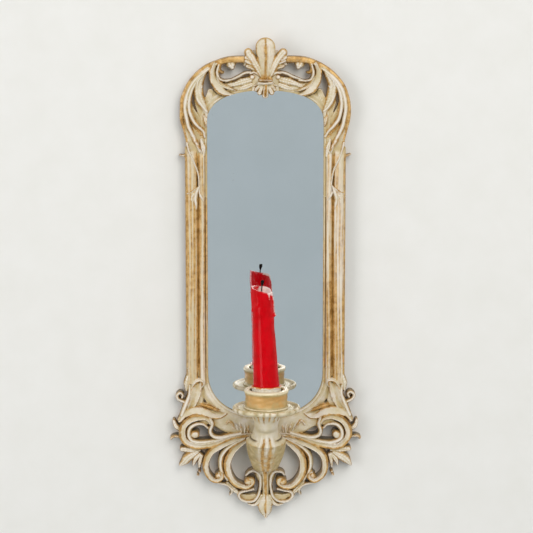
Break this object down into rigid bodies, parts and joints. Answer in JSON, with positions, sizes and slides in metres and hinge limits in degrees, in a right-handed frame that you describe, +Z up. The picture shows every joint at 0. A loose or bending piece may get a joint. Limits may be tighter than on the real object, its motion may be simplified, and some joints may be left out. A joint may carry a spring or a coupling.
{
  "type": "mirrored wall sconce",
  "caption": "Arched mirror in a carved, pierced rococo frame with a bracket that carries a drip tray, a candle cup and one candle.",
  "frame": {"origin": "centre of the keyhole in the hanger plate, on the wall plane", "axes": "+X to the right as seen from the front, +Y into the wall, -Y out towards the viewer, +Z up"},
  "size_m": [0.165, 0.0869, 0.4213],
  "materials": {
    "painted_carving": "matte cream paint with ochre wash",
    "gilt_carving": "rubbed gold paint over cream",
    "bare_wood": "unfinished",
    "mirror_glass": "silvered at the back",
    "steel_fittings": "zinc plated",
    "painted_tray": "satin cream paint rubbed with gold",
    "gilt_cup": "mottled old gold",
    "cream_sleeve": "gloss cream",
    "red_wax": "smooth wax",
    "burnt_wick": "charred cotton"
  },
  "bodies": {
    "sconce": {"crown": "painted_carving", "left_stile": "painted_carving", "right_stile": "painted_carving", "apron": "painted_carving", "crest_palmette": "gilt_carving", "left_husk": "gilt_carving", "right_husk": "gilt_carving", "frame_dowels": "bare_wood", "mirror_pane": "mirror_glass", "backing_board": "bare_wood", "turn_button_screws": "steel_fittings", "hanger_block": "bare_wood", "hanger_plate": "steel_fittings", "hanger_screws": "steel_fittings", "bracket": "painted_carving", "bracket_screws": "steel_fittings", "drip_tray": "painted_tray", "candle_cup": "gilt_cup", "candle_sleeve": "cream_sleeve", "cup_washer": "steel_fittings", "cup_screw": "steel_fittings"},
    "candle": {"candle": "red_wax", "candle_wick": "burnt_wick"},
    "turn_button_upper_left": {"turn_button_upper_left": "steel_fittings"},
    "turn_button_upper_right": {"turn_button_upper_right": "steel_fittings"},
    "turn_button_lower_left": {"turn_button_lower_left": "steel_fittings"},
    "turn_button_lower_right": {"turn_button_lower_right": "steel_fittings"}
  },
  "joints": [
    {"name": "candle_lift", "type": "slide", "parent": "sconce", "child": "candle", "axis": [0, 0, 1], "range_m": [0, 0.03]},
    {"name": "turn_button_upper_left_pivot", "type": "hinge", "parent": "sconce", "child": "turn_button_upper_left", "pos_m": [-0.06001, -0.0025, -0.136], "axis": [0, -1, 0], "range_deg": [0, 90]},
    {"name": "turn_button_upper_right_pivot", "type": "hinge", "parent": "sconce", "child": "turn_button_upper_right", "pos_m": [0.06001, -0.0025, -0.136], "axis": [0, 1, 0], "range_deg": [0, 90]},
    {"name": "turn_button_lower_left_pivot", "type": "hinge", "parent": "sconce", "child": "turn_button_lower_left", "pos_m": [-0.06001, -0.0025, -0.23], "axis": [0, -1, 0], "range_deg": [0, 90]},
    {"name": "turn_button_lower_right_pivot", "type": "hinge", "parent": "sconce", "child": "turn_button_lower_right", "pos_m": [0.06001, -0.0025, -0.23], "axis": [0, 1, 0], "range_deg": [0, 90]}
  ]
}
